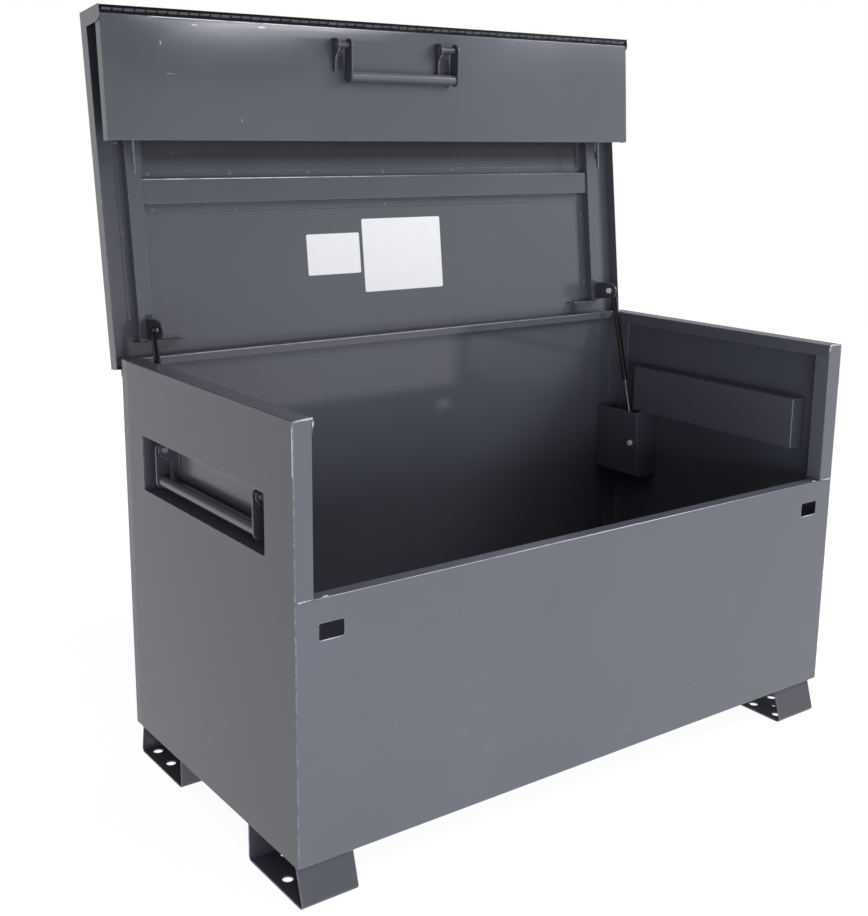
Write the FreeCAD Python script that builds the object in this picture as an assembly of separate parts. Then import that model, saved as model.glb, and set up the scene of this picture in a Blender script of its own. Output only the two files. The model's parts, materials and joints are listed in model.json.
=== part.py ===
import FreeCAD, Part
import math
import os

# Jobsite storage box, modelled with its lid raised and its front flap hanging.
# Working axes: X across the width, front at -Y, +Z up, z = 0 at the underside of the body.
# Everything is shifted at the end so that the frame's origin is the bottom centre of the raised box.

V = FreeCAD.Vector

# ---------------------------------------------------------------- driving sizes, mm
W = 1524.0            # body width
D = 750.0             # body depth
H = 863.0             # body height, underside to top flange
SILL = 528.0          # height of the front panel
T = 2.0               # body sheet
FOOT_H = 80.0         # feet below the body
FOOT_T = 4.0          # foot plate
FOOT_L = 126.0        # foot length along X
SIDE_FLANGE = 44.0    # side walls' top flange
SIDE_LIP = 25.0       # its down lip
REAR_FLANGE = 18.0
REAR_LIP = 15.0
SILL_FLANGE = 29.0
POST_FACE = 41.0
POST_RETURN = 40.0

LID_ANGLE = 96.6      # how far the lid stands open
HINGE_Y = 387.0       # rear hinge axis
HINGE_Z = 836.5
LID_D = 774.0         # lid depth, from the hinge axis plane
LID_HALF = 769.0      # half of the lid's width
LID_TOP = 31.5        # outer face of the lid above the hinge axis
LID_IN = 29.5         # inner face of the lid above the hinge axis
SKIRT_F = 106.0       # front corners of the side skirts
FLAP_DROP = 97.5      # flap hinge axis below the lid's top
FLAP_FACE = 5.5       # flap's and front skirt's outer face in front of that axis
SKIRT_S = 32.0        # side skirts
FLAP_L = 280.0        # flap's lower edge, down from the lid's front face line
FLAP_TOP = 17.5       # flap's upper edge, likewise
FLAP_LEAN = 4.0       # flap's lean when the lid is raised
FLAP_HALF = 766.5
FLAP_FLANGE = 24.0
BARREL_R = 4.5        # rear hinge
BARREL_F = 6.0        # flap hinge
HPIN_R = 2.5
PITCH = 50.8          # piano hinge knuckle pitch
RUN = 0.05            # radial running clearance

HANDLE_MID = 4.0      # y of the side handles' middle
HANDLE_SPAN = 434.0
HANDLE_X = 741.0
HANDLE_PIN_Z = 688.0
HANDLE_GRIP_Z = 617.0
OPEN_Y0, OPEN_Y1 = -268.0, 276.0
OPEN_Z0, OPEN_Z1 = 587.0, 709.0
RIGHT_DY, RIGHT_DZ = -13.0, 5.5      # right-hand opening and handle against the left-hand ones
POCKET_X = 717.0      # outer face of the handle pocket's back

STRUT_X = 698.0
LOW_Y, LOW_Z = 238.0, 504.0          # lower strut pivot
UP_T, UP_DZ = 83.0, -52.5            # upper strut pivot, in the lid

SLOT_X, SLOT_W = 684.0, 55.0
SLOT_Z0, SLOT_Z1 = 446.0, 479.0

# ---------------------------------------------------------------- helpers


def box(x0, x1, y0, y1, z0, z1):
    return Part.makeBox(abs(x1 - x0), abs(y1 - y0), abs(z1 - z0), V(min(x0, x1), min(y0, y1), min(z0, z1)))


def cyl_x(x0, x1, y, z, r):
    return Part.makeCylinder(r, abs(x1 - x0), V(min(x0, x1), y, z), V(1, 0, 0))


def cyl_y(y0, y1, x, z, r):
    return Part.makeCylinder(r, abs(y1 - y0), V(x, min(y0, y1), z), V(0, 1, 0))


def cyl_z(z0, z1, x, y, r):
    return Part.makeCylinder(r, abs(z1 - z0), V(x, y, min(z0, z1)), V(0, 0, 1))


def prism_x(x0, x1, pts):
    a, b = min(x0, x1), max(x0, x1)
    w = Part.makePolygon([V(a, y, z) for y, z in pts] + [V(a, *pts[0])])
    return Part.Face(w).extrude(V(b - a, 0, 0))


def prism_z(z0, z1, pts):
    w = Part.makePolygon([V(x, y, z0) for x, y in pts] + [V(pts[0][0], pts[0][1], z0)])
    return Part.Face(w).extrude(V(0, 0, z1 - z0))


def prism_y(y0, y1, pts):
    w = Part.makePolygon([V(x, y0, z) for x, z in pts] + [V(pts[0][0], y0, pts[0][1])])
    return Part.Face(w).extrude(V(0, y1 - y0, 0))


def fuse(*s):
    out = s[0]
    for k in s[1:]:
        out = out.fuse(k)
    return out.removeSplitter()


def mirror(s):
    return s.mirror(V(0, 0, 0), V(1, 0, 0))


def fillet_x(s, y, z, r):
    # rounds the edge that runs along X at (y, z)
    edges = [e for e in s.Edges if all(abs(v.Point.y - y) < 0.01 and abs(v.Point.z - z) < 0.01 for v in e.Vertexes)]
    return s.makeFillet(r, edges)


def hexagon_x(x0, x1, y, z, across):
    r = across / math.sqrt(3.0)
    return prism_x(x0, x1, [(y + r * math.cos(math.radians(60 * k + 30)), z + r * math.sin(math.radians(60 * k + 30))) for k in range(6)])


def hexagon_y(y0, y1, x, z, across):
    r = across / math.sqrt(3.0)
    return prism_y(y0, y1, [(x + r * math.cos(math.radians(60 * k + 30)), z + r * math.sin(math.radians(60 * k + 30))) for k in range(6)])


def stadium_x(x0, x1, y0, z0, y1, z1, r):
    # plate across X with round ends about (y0, z0) and (y1, z1)
    d = math.hypot(y1 - y0, z1 - z0)
    ny, nz = -(z1 - z0) / d * r, (y1 - y0) / d * r
    bar = prism_x(x0, x1, [(y0 + ny, z0 + nz), (y1 + ny, z1 + nz), (y1 - ny, z1 - nz), (y0 - ny, z0 - nz)])
    return fuse(bar, cyl_x(x0, x1, y0, z0, r), cyl_x(x0, x1, y1, z1, r))


def raised(s):
    # closed lid -> raised lid
    s = s.copy()
    s.rotate(V(0, HINGE_Y, HINGE_Z), V(-1, 0, 0), LID_ANGLE)
    return s


A = math.radians(LID_ANGLE)
FLAP_T = LID_D - FLAP_FACE            # flap axis in the lid
FLAP_DZ = LID_TOP - FLAP_DROP
TAB_DZ = LID_TOP - SKIRT_F
FLAP_Y = HINGE_Y - FLAP_T * math.cos(A) + FLAP_DZ * math.sin(A)
FLAP_Z = HINGE_Z + FLAP_T * math.sin(A) + FLAP_DZ * math.cos(A)
CY, CZ = HINGE_Y - FLAP_T, HINGE_Z + FLAP_DZ      # flap axis, lid closed


def hung(s):
    # flap as drawn closed -> flap hanging from the raised lid
    s = s.copy()
    s.rotate(V(0, CY, CZ), V(-1, 0, 0), FLAP_LEAN)
    s.translate(V(0, FLAP_Y - CY, FLAP_Z - CZ))
    return s


def lid_box(x0, x1, t0, t1, d0, d1):
    return box(x0, x1, HINGE_Y - t1, HINGE_Y - t0, HINGE_Z + d0, HINGE_Z + d1)


def lid_prism(x0, x1, pts):
    return prism_x(x0, x1, [(HINGE_Y - t, HINGE_Z + d) for t, d in pts])


def fyz(d, o):
    # flap drawn closed: d down from the lid's front face line, o out from the flap's outer face
    return CY - FLAP_FACE - o, CZ + FLAP_FACE - d


def flap_prism(x0, x1, pts):
    return prism_x(x0, x1, [fyz(d, o) for d, o in pts])


def flap_box(x0, x1, d0, d1, o0, o1):
    return flap_prism(x0, x1, [(d0, o0), (d1, o0), (d1, o1), (d0, o1)])


HX, HY = W / 2.0, D / 2.0
parts = {}

# ---------------------------------------------------------------- body shell
SEAM = HY - 27.5                      # where the side wall meets the rear panel's return
lip_x = HX - SIDE_FLANGE              # 718


def side_panel(dy=0.0, dz=0.0):
    wall = box(-HX, -HX + T, -HY, SEAM, 0, H)
    flange = box(-HX, -lip_x, -HY, HY - REAR_FLANGE - 0.6, H - T, H).cut(box(-HX - 1, -HX + T, SEAM, HY, H - 2 * T, H + 1))
    lip = box(-lip_x - T, -lip_x, -HY + T + 1, HY - REAR_FLANGE - 0.6, H - SIDE_LIP - T, H)
    s = fuse(wall, flange, lip)
    return s.cut(box(-HX - 1, -HX + T + 1, OPEN_Y0 + dy, OPEN_Y1 + dy, OPEN_Z0 + dz, OPEN_Z1 + dz))


parts["left_side_panel"] = side_panel()
parts["right_side_panel"] = mirror(side_panel(RIGHT_DY, RIGHT_DZ))

rear = box(-HX, HX, HY - T, HY, 0, H)
for s in (-1, 1):
    rear = rear.fuse(box(s * (HX - T), s * HX, HY - 27.0, HY, 0, H))
rear = rear.fuse(box(-HX + T, HX - T, HY - REAR_FLANGE, HY, H - T, H))
rear = rear.fuse(box(-lip_x + 0.6, lip_x - 0.6, HY - REAR_FLANGE, HY - REAR_FLANGE + T, H - T - REAR_LIP, H))
parts["rear_panel"] = rear.removeSplitter()

front = box(-HX + T, HX - T, -HY, -HY + T, 0, SILL)
front = front.fuse(box(-HX + T, HX - T, -HY, -HY + SILL_FLANGE, SILL - T, SILL)).removeSplitter()
for s in (-1, 1):
    front = front.cut(box(s * SLOT_X - SLOT_W / 2, s * SLOT_X + SLOT_W / 2, -HY - 1, -HY + T + 1, SLOT_Z0, SLOT_Z1))
parts["front_panel"] = front
parts["floor_panel"] = box(-HX + T, HX - T, -HY + T, HY - T, 0, T)


def front_post():
    face = box(-HX + T, -HX + POST_FACE, -HY, -HY + T, SILL, H - T)
    ret = box(-HX + POST_FACE - T, -HX + POST_FACE, -HY, -HY + POST_RETURN, SILL, H - SIDE_LIP - 2 * T - 0.5)
    ret2 = box(-HX + POST_FACE - T, -HX + POST_FACE, -HY, -HY + POST_RETURN, SILL, H - T)
    return fuse(face, ret, ret2)


parts["left_front_post"] = front_post()
parts["right_front_post"] = mirror(front_post())


def rear_post():
    return fuse(box(-HX + T, -HX + 2 * T, HY - POST_RETURN, HY - T, T, H - T),
                box(-HX + T, -HX + POST_FACE, HY - 2 * T, HY - T, T, H - T))


parts["left_rear_post"] = rear_post()
parts["right_rear_post"] = mirror(rear_post())

# ---------------------------------------------------------------- feet
# from the middle line: inner edge, outer edge at the top and at the bottom, middle of the caster holes
FRONT_FOOT = (176.0, 368.0, 392.0, 320.0)
REAR_FOOT = (158.0, 362.0, 376.0, 312.0)
FOOT_X = {"left_front": -HX, "left_rear": -HX + 10.0, "right_front": HX - 21.0 - FOOT_L, "right_rear": HX - 21.0 - FOOT_L}
CASTER_DX, CASTER_DY, CASTER_R = 70.0, 72.0, 11.0


def foot(x0, side):
    x1 = x0 + FOOT_L
    inn, top, bot, cy = FRONT_FOOT if side < 0 else REAR_FOOT
    k = (bot - top) / FOOT_H
    outer = prism_x(x0, x1, [(side * inn, 0), (side * top, 0), (side * bot, -FOOT_H), (side * inn, -FOOT_H)])
    outer = fillet_x(outer, side * bot, -FOOT_H, 10.0)
    outer = fillet_x(outer, side * inn, -FOOT_H, 10.0)
    zi = -FOOT_H + FOOT_T
    inner = prism_x(x0 - 1, x1 + 1, [(side * (inn + FOOT_T), 5), (side * (top - FOOT_T - 5 * k), 5),
                                     (side * (top - FOOT_T + k * (FOOT_H - FOOT_T)), zi), (side * (inn + FOOT_T), zi)])
    inner = fillet_x(inner, side * (top - FOOT_T + k * (FOOT_H - FOOT_T)), zi, 5.0)
    inner = fillet_x(inner, side * (inn + FOOT_T), zi, 5.0)
    s = outer.cut(inner)
    cx = (x0 + x1) / 2
    for i in (-1, 1):
        for j in (-1, 1):
            s = s.cut(cyl_z(-FOOT_H - 1, zi + 1, cx + i * CASTER_DX / 2, side * cy + j * CASTER_DY / 2, CASTER_R))
    s = s.cut(cyl_z(-FOOT_H - 1, zi + 1, cx, side * cy, 6.0))
    s = s.cut(cyl_z(-FOOT_H - 1, zi + 1, cx, side * 205.0, 6.0))
    return s


for name, x0 in FOOT_X.items():
    parts["%s_foot" % name] = foot(x0, -1 if name.endswith("front") else 1)

# ---------------------------------------------------------------- side handle pockets, brackets, pins, handles


def handle_pocket():
    outer = box(-HX + T, -POCKET_X + T, OPEN_Y0 - T, OPEN_Y1 + T, OPEN_Z0 - T, OPEN_Z1 + T)
    inner = box(-HX, -POCKET_X, OPEN_Y0, OPEN_Y1, OPEN_Z0, OPEN_Z1)
    return outer.cut(inner)


ARM_T = 4.0
ARM_R = 16.0
PIN_R = 4.0
arm_in = HANDLE_SPAN / 2 - ARM_T / 2
arm_out = HANDLE_SPAN / 2 + ARM_T / 2
ear_in, ear_out = arm_out + 4.0, arm_out + 8.0


def to_rear(s):
    # the rear end's ear, pin and arm stand the same way round as the front end's
    s = s.copy()
    s.translate(V(0, HANDLE_SPAN, 0))
    return s


def handle_bracket():
    def yy(v):
        return HANDLE_MID - v
    ear = fuse(prism_y(min(yy(ear_in), yy(ear_out)), max(yy(ear_in), yy(ear_out)),
                       [(-POCKET_X - 3, 656), (-POCKET_X - 3, 704), (-HANDLE_X, 704), (-HANDLE_X - 12, 697), (-HANDLE_X - 13, 684), (-HANDLE_X - 6, 672)]),
               box(-POCKET_X - 3, -POCKET_X, yy(ear_in), yy(ear_in + 34), 628, 704))
    return ear.cut(cyl_y(yy(ear_in) - 10, yy(ear_in) + 10, -HANDLE_X, HANDLE_PIN_Z, PIN_R))


def handle_pin():
    def yy(v):
        return HANDLE_MID - v
    return fuse(cyl_y(yy(arm_in - 5.5), yy(ear_out + 1), -HANDLE_X, HANDLE_PIN_Z, PIN_R),
                hexagon_y(*sorted((yy(ear_out), yy(ear_out + 5))), -HANDLE_X, HANDLE_PIN_Z, 13.0),
                cyl_y(yy(arm_in - 5.5), yy(arm_in - 0.6), -HANDLE_X, HANDLE_PIN_Z, 6.5))


def handle_arm(side):
    a, b = sorted((HANDLE_MID + side * arm_in, HANDLE_MID + side * arm_out))
    bar = fuse(box(-HANDLE_X - ARM_R, -HANDLE_X + ARM_R, a, b, HANDLE_GRIP_Z, HANDLE_PIN_Z),
               cyl_y(a, b, -HANDLE_X, HANDLE_PIN_Z, ARM_R), cyl_y(a, b, -HANDLE_X, HANDLE_GRIP_Z, ARM_R))
    return bar.cut(cyl_y(a - 1, b + 1, -HANDLE_X, HANDLE_PIN_Z, PIN_R + RUN))


GRIP_R = 12.0
grip = cyl_y(HANDLE_MID - arm_in, HANDLE_MID + arm_in, -HANDLE_X, HANDLE_GRIP_Z, GRIP_R)
def right_hand(s):
    s = mirror(s)
    s.translate(V(0, RIGHT_DY, RIGHT_DZ))
    return s


for name, m in (("left", lambda s: s), ("right", right_hand)):
    parts["%s_handle_pocket" % name] = m(handle_pocket())
    parts["%s_handle_brackets" % name] = Part.makeCompound([m(handle_bracket()), m(to_rear(handle_bracket()))])
    parts["%s_handle_pins" % name] = Part.makeCompound([m(handle_pin()), m(to_rear(handle_pin()))])
    parts["%s_handle_arms" % name] = Part.makeCompound([m(handle_arm(1)), m(handle_arm(-1))])
    parts["%s_handle_grip" % name] = m(grip)

# ---------------------------------------------------------------- lower strut pockets and bolts
SP_X = 686.0


SP_Z0, SP_Z1 = 412.0, 592.0
SP_LEAN = 18.0        # how much further forward the pocket's front face stands at the bottom


def skew_z(z0, z1, low, high):
    # solid between a polygon at z0 and one with parallel sides at z1
    a = [V(x, y, z0) for x, y in low]
    b = [V(x, y, z1) for x, y in high]
    n = len(a)
    faces = [Part.Face(Part.makePolygon(a + a[:1])), Part.Face(Part.makePolygon(b + b[:1]))]
    for i in range(n):
        j = (i + 1) % n
        faces.append(Part.Face(Part.makePolygon([a[i], a[j], b[j], b[i], a[i]])))
    s = Part.Solid(Part.Shell(faces))
    if s.Volume < 0:
        s.reverse()
    return s


def strut_pocket(dz=0.0):
    def section(y):
        return [(-SP_X, y), (-SP_X, HY - T), (-SP_X - T, HY - T), (-SP_X - T, y + 2.2), (-HX + T, y + 8.2), (-HX + T, y + 6.2)]
    s = skew_z(SP_Z0, SP_Z1, section(203.0), section(203.0 + SP_LEAN))
    s = s.cut(box(-HX, -POCKET_X + T + 0.5, OPEN_Y0 - 20, OPEN_Y1 + 3, OPEN_Z0 - T - 0.5 + dz, 600))
    return s.cut(cyl_x(-SP_X - T - 1, -SP_X + 1, LOW_Y, LOW_Z, PIN_R))


def lower_bolt():
    return fuse(cyl_x(-STRUT_X - 8, -SP_X, LOW_Y, LOW_Z, PIN_R), hexagon_x(-SP_X, -SP_X + 6, LOW_Y, LOW_Z, 14.0),
                cyl_x(-STRUT_X - 8, -STRUT_X - 6.5, LOW_Y, LOW_Z, 7.0))


parts["left_strut_pocket"] = strut_pocket()
parts["right_strut_pocket"] = mirror(strut_pocket(RIGHT_DZ))
parts["left_strut_lower_bolt"] = lower_bolt()
parts["right_strut_lower_bolt"] = mirror(lower_bolt())

# ---------------------------------------------------------------- piano hinges
HALF_R = 15 * PITCH                   # half length of the rear hinge, 762
N_KN = 30
REAR_HALF = N_KN * PITCH / 2 - 4.0


def knuckles(half, first):
    # (x0, x1) of every other knuckle, and of the gaps between them
    n = N_KN
    step = 2 * half / n
    mine, other = [], []
    for k in range(n):
        a, b = -half + k * step, -half + (k + 1) * step
        if k % 2 == first:
            mine.append((a + 0.25, b - 0.25))
        else:
            other.append((a - 0.25, b + 0.25))
    return mine, other


def leaf(plate, y, z, half, first, bore, clear, r=BARREL_R):
    mine, other = knuckles(half, first)
    s = plate
    for a, b in other:
        s = s.cut(cyl_x(a, b, y, z, clear))
    rings = [cyl_x(a, b, y, z, r) for a, b in mine]
    s = s.multiFuse(rings)
    s = s.cut(cyl_x(-half - 1, half + 1, y, z, bore))
    return s.removeSplitter()


# box leaf: flat on the rear panel, joggled out to the barrel
box_plate = prism_x(-REAR_HALF, REAR_HALF, [(HY, 778), (HY + 2, 778), (HY + 2, 812), (HINGE_Y + 0.5, 824), (HINGE_Y + 0.5, HINGE_Z), (HINGE_Y - 1.5, HINGE_Z), (HINGE_Y - 1.5, 825.2), (HY, 813)])
parts["rear_hinge_box_leaf"] = leaf(box_plate, HINGE_Y, HINGE_Z, REAR_HALF, 0, HPIN_R, 6.5)
parts["rear_hinge_pin"] = cyl_x(-REAR_HALF, REAR_HALF, HINGE_Y, HINGE_Z, HPIN_R)
lid_plate = lid_box(-REAR_HALF, REAR_HALF, T, 2 * T, 0, 26)
parts["rear_hinge_lid_leaf"] = raised(leaf(lid_plate, HINGE_Y, HINGE_Z, REAR_HALF, 1, HPIN_R + RUN, 6.5))

FH = N_KN * PITCH / 2 + 1.5
skirt_plate = lid_box(-FH, FH, LID_D - 2 * T, LID_D - T, FLAP_DZ + 0.5, FLAP_DZ + 40)
parts["flap_hinge_lid_leaf"] = raised(leaf(skirt_plate, CY, CZ, FH, 0, HPIN_R + RUN, 8.5, BARREL_F))
flap_plate = flap_box(-FH, FH, FLAP_FACE + 0.5, 50, -2 * T, -T)
parts["flap_hinge_leaf"] = hung(leaf(flap_plate, CY, CZ, FH, 1, HPIN_R + RUN, 8.5, BARREL_F))
parts["flap_hinge_pin"] = hung(cyl_x(-FH, FH, CY, CZ, HPIN_R))

# ---------------------------------------------------------------- lid
pan = lid_box(-LID_HALF, LID_HALF, 0, LID_D, LID_IN, LID_TOP)
pan = pan.fuse(lid_box(-LID_HALF, LID_HALF, LID_D - T, LID_D, FLAP_DZ + 9, LID_TOP))
pan = pan.fuse(lid_box(-LID_HALF + T, LID_HALF - T, 0, T, 6, LID_TOP))
for s in (-1, 1):
    a, b = s * (LID_HALF - T), s * LID_HALF
    pan = pan.fuse(lid_box(a, b, 0, LID_D, LID_TOP - SKIRT_S, LID_TOP))
    pan = pan.fuse(lid_prism(a, b, [(LID_D - 34, LID_TOP - 5), (LID_D - 34, TAB_DZ + 16), (LID_D - 31, TAB_DZ + 7), (LID_D - 25, TAB_DZ + 2),
                                    (LID_D - 18, TAB_DZ), (LID_D, TAB_DZ), (LID_D, LID_TOP - 5)]))
parts["lid_pan"] = raised(pan.removeSplitter())

SC0, SC1 = 672.0, 705.0               # face of a side channel
SC_T0, SC_T1 = 57.0, 736.0
SC_D = 25.8


def side_channel():
    return lid_section([(-SC0 + 18, LID_IN), (-SC0 + 18, LID_IN - T), (-SC0 + T, LID_IN - T), (-SC0 + T, LID_IN - SC_D)] +
                       [(-SC1, LID_IN - SC_D), (-SC1, LID_IN - T), (-SC1 - 16, LID_IN - T), (-SC1 - 16, LID_IN)] +
                       [(-SC1 + T, LID_IN), (-SC1 + T, LID_IN - SC_D + T), (-SC0, LID_IN - SC_D + T), (-SC0, LID_IN)])


def lid_section(pts):
    # profile in (x, above the hinge axis), run along the lid's depth
    return prism_y(HINGE_Y - SC_T1, HINGE_Y - SC_T0, [(x, HINGE_Z + d) for x, d in pts])


sc = side_channel()
parts["lid_left_channel"] = raised(sc)
parts["lid_right_channel"] = raised(mirror(sc))

CC_D = 20.0
cross = lid_prism(-676, 676, [(341, LID_IN), (341, LID_IN - T), (361, LID_IN - T), (361, LID_IN - CC_D), (417, LID_IN - CC_D), (417, LID_IN - T), (437, LID_IN - T),
                              (437, LID_IN), (415, LID_IN), (415, LID_IN - CC_D + T), (363, LID_IN - CC_D + T), (363, LID_IN)])
cross = cross.cut(lid_box(-SC0 + 18, -800, 300, 480, LID_IN - T, LID_IN + 1)).cut(lid_box(SC0 - 18, 800, 300, 480, LID_IN - T, LID_IN + 1))
cross = cross.cut(lid_box(-SC0 + T, -800, 300, 480, -60, LID_IN + 1)).cut(lid_box(SC0 - T, 800, 300, 480, -60, LID_IN + 1))
parts["lid_cross_channel"] = raised(cross)

parts["small_label"] = raised(lid_box(-244, -91, 179, 279, LID_IN - 0.3, LID_IN))
parts["large_label"] = raised(lid_box(-81, 162, 129, 312, LID_IN - 0.3, LID_IN))


def upper_bracket():
    x0, x1 = -688.0, -684.0
    f = LID_IN - SC_D
    tongue = lid_prism(x0, x1, [(60, f), (62, UP_DZ + 4), (66, UP_DZ - 8), (100, UP_DZ - 8), (106, UP_DZ + 4), (108, f)])
    tongue = fuse(tongue, cyl_x(x0, x1, HINGE_Y - UP_T, HINGE_Z + UP_DZ - 6, 19.0))
    base = lid_box(x0, -673.0, SC_T0 - 3, 116, f - 3, f)
    shelf = lid_box(x0, -596.0, SC_T0 - 3, SC_T0, f - 3, LID_IN)
    s = fuse(tongue, base, shelf)
    return s.cut(cyl_x(x0 - 1, x1 + 1, HINGE_Y - UP_T, HINGE_Z + UP_DZ, PIN_R))


def upper_bolt():
    y, z = HINGE_Y - UP_T, HINGE_Z + UP_DZ
    return fuse(cyl_x(-690.0, -684.0, y, z, PIN_R), hexagon_x(-684.0, -678.0, y, z, 14.0))


parts["left_strut_bracket"] = raised(upper_bracket())
parts["right_strut_bracket"] = raised(mirror(upper_bracket()))
parts["left_strut_upper_bolt"] = raised(upper_bolt())
parts["right_strut_upper_bolt"] = raised(mirror(upper_bolt()))

# ---------------------------------------------------------------- struts, drawn upright from the lower pivot, then leaned
UY = HINGE_Y - UP_T * math.cos(A) + UP_DZ * math.sin(A)
UZ = HINGE_Z + UP_T * math.sin(A) + UP_DZ * math.cos(A)
S_LEN = math.hypot(UY - LOW_Y, UZ - LOW_Z)
S_LEAN = math.degrees(math.atan2(UY - LOW_Y, UZ - LOW_Z))
TUBE_TOP, TUBE_BOT = S_LEN - 20.0, S_LEN - 256.0
TUBE_R, TUBE_IN, ROD_R = 7.5, 6.2, 3.0


def lean(s):
    s = s.copy()
    s.rotate(V(0, 0, 0), V(-1, 0, 0), S_LEAN)
    s.translate(V(0, LOW_Y, LOW_Z))
    return s


rod = fuse(cyl_z(5, TUBE_BOT + 30, -STRUT_X, 0, ROD_R), cyl_z(TUBE_BOT + 22, TUBE_BOT + 30, -STRUT_X, 0, TUBE_IN - 0.06), cyl_x(-STRUT_X - 5, -STRUT_X + 5, 0, 0, 8.0))
rod = lean(rod.cut(cyl_x(-STRUT_X - 7, -STRUT_X + 7, 0, 0, PIN_R + RUN)))
tube = cyl_z(TUBE_BOT, TUBE_TOP, -STRUT_X, 0, TUBE_R).cut(cyl_z(TUBE_BOT - 1, TUBE_BOT + 16, -STRUT_X, 0, ROD_R + RUN)).cut(cyl_z(TUBE_BOT + 15, TUBE_TOP - 6, -STRUT_X, 0, TUBE_IN))
tube = fuse(tube, cyl_z(TUBE_TOP - 1, S_LEN - 5, -STRUT_X, 0, ROD_R), cyl_x(-STRUT_X - 5, -STRUT_X + 5, 0, S_LEN, 8.0))
tube = lean(tube.cut(cyl_x(-STRUT_X - 7, -STRUT_X + 7, 0, S_LEN, PIN_R + RUN)))
parts["left_strut_rod"], parts["right_strut_rod"] = rod, mirror(rod)
parts["left_strut_tube"], parts["right_strut_tube"] = tube, mirror(tube)

# ---------------------------------------------------------------- flap
flap = flap_box(-FLAP_HALF, FLAP_HALF, FLAP_TOP, FLAP_L, -T, 0)
for s in (-1, 1):
    flap = flap.fuse(flap_box(s * (FLAP_HALF - T), s * FLAP_HALF, FLAP_TOP + 3, FLAP_L, -FLAP_FLANGE, 0))
parts["flap_panel"] = hung(flap.removeSplitter())


def hook(x0, x1):
    return hung(flap_prism(x0, x1, [(205, -T), (352, -T), (352, -4), (341, -9), (327, -9), (324, -15.8), (306, -17.5), (303, -9), (215, -9)]))


# both hooks stand at the left-hand end of their slots
parts["left_latch_hook"] = hook(-711, -706.3)
parts["right_latch_hook"] = hook(657.5, 662.2)

F_PIN_D, F_PIN_O, F_GRIP_D = 60.0, 22.0, 131.0
F_ARMS = ((-164.0, -160.0), (150.0, 154.0))
F_EARS = ((-195.0, -191.0), (106.0, 110.0))


def flap_bracket(ear, arm):
    s = fuse(flap_prism(ear[0], ear[1], [(42, 0), (44, 20), (50, 29), (60, 32), (70, 29), (78, 20), (90, 13), (118, 9), (118, 0)]),
             flap_box(ear[0], arm[0] - 4, 80, 118, 0, 3), cyl_x(ear[0] - 1.5, arm[0] - 0.6, *fyz(F_PIN_D, F_PIN_O), 8.5))
    return s.cut(cyl_x(ear[0] - 3, arm[0] + 1, *fyz(F_PIN_D, F_PIN_O), PIN_R))


def flap_handle_pin(ear, arm):
    y, z = fyz(F_PIN_D, F_PIN_O)
    return fuse(cyl_x(ear[0] - 4, arm[1] + 16, y, z, PIN_R), hexagon_x(arm[1] + 0.5, arm[1] + 9.5, y, z, 14.0))


parts["flap_handle_brackets"] = Part.makeCompound([hung(flap_bracket(e, a)) for e, a in zip(F_EARS, F_ARMS)])
parts["flap_handle_pins"] = Part.makeCompound([hung(flap_handle_pin(e, a)) for e, a in zip(F_EARS, F_ARMS)])


def plumb(s):
    s = s.copy()
    s.rotate(V(0, *fyz(F_PIN_D, F_PIN_O)), V(-1, 0, 0), -FLAP_LEAN)
    return hung(s)


def flap_arm(a):
    s = stadium_x(a[0], a[1], *fyz(F_PIN_D, F_PIN_O), *fyz(F_GRIP_D, F_PIN_O), ARM_R)
    return plumb(s.cut(cyl_x(a[0] - 1, a[1] + 1, *fyz(F_PIN_D, F_PIN_O), PIN_R + RUN)))


parts["flap_handle_arms"] = Part.makeCompound([flap_arm(a) for a in F_ARMS])
parts["flap_handle_grip"] = plumb(cyl_x(F_ARMS[0][1], F_ARMS[1][0], *fyz(F_GRIP_D, F_PIN_O), 12.5))

# ---------------------------------------------------------------- shift to the frame and write
Y_MAX = HINGE_Y - LID_D * math.cos(A) + LID_TOP * math.sin(A)
Y_MIN = -max(parts["left_front_foot"].BoundBox.YMax * -1, -parts["left_front_foot"].BoundBox.YMin)
SHIFT = V(0, -(Y_MAX + Y_MIN) / 2.0, FOOT_H)
os.makedirs("parts", exist_ok=True)
lo, hi = [1e9] * 3, [-1e9] * 3
for node, shape in parts.items():
    shape = shape.copy()
    shape.translate(SHIFT)
    shape.exportStep("parts/%s.step" % node)
    b = shape.BoundBox
    lo = [min(lo[0], b.XMin), min(lo[1], b.YMin), min(lo[2], b.ZMin)]
    hi = [max(hi[0], b.XMax), max(hi[1], b.YMax), max(hi[2], b.ZMax)]
    if not shape.isValid() or any(not k.isValid() for k in shape.Solids):
        print("INVALID", node)
    print("%-24s solids %d  vol %.0f" % (node, len(shape.Solids), shape.Volume))
print("nodes", len(parts), "shift", SHIFT, "bounds", lo, hi)
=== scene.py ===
import bpy, bmesh, math, json
from mathutils import Vector, Matrix

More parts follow.
